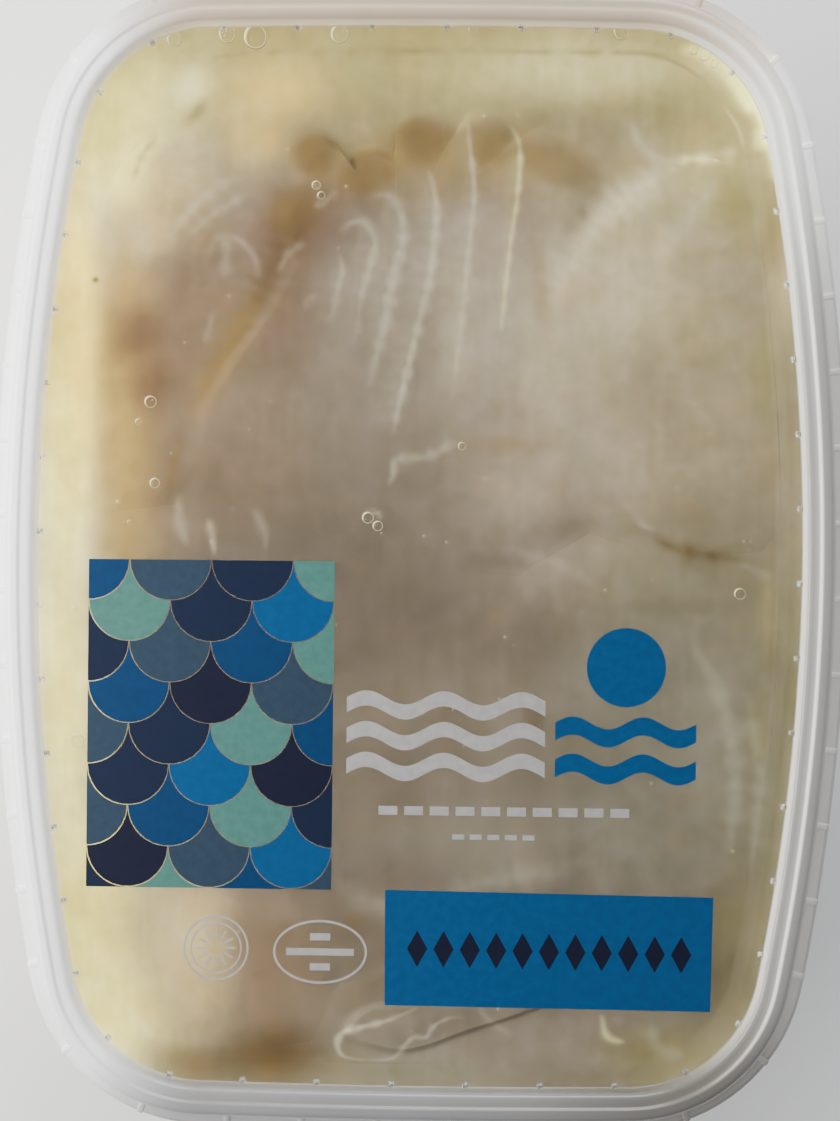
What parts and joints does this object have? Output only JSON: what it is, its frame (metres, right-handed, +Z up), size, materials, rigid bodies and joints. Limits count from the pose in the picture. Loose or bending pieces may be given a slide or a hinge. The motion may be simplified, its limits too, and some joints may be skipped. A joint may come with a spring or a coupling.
{
  "type": "tub of smoked cod",
  "caption": "Shut clear plastic tub with a bowed outline and a push-on printed lid, filled to the lid with overlapping slices of smoked cod in pale oil.",
  "frame": {"origin": "middle of the tub's flat base", "axes": "+X across the tub, +Y along it towards the end away from the printed label, +Z up out of the lid"},
  "size_m": [0.137, 0.184, 0.048],
  "materials": {
    "clear_tub": "clear, slightly milky, glossy",
    "clear_lid": "clear, slightly milky, glossy",
    "cod": "moist, pale cream with brown smoked edges"
  },
  "bodies": {
    "root": {"tub": "clear_tub", "lid": "clear_lid", "cod_stack": "cod", "back_slice": "cod", "left_slice": "cod", "right_slice": "cod", "lower_left_slice": "cod", "lower_right_slice": "cod", "bottom_slice": "cod", "middle_slice": "cod", "central_slice": "cod", "folded_slice": "cod"}
  },
  "joints": []
}
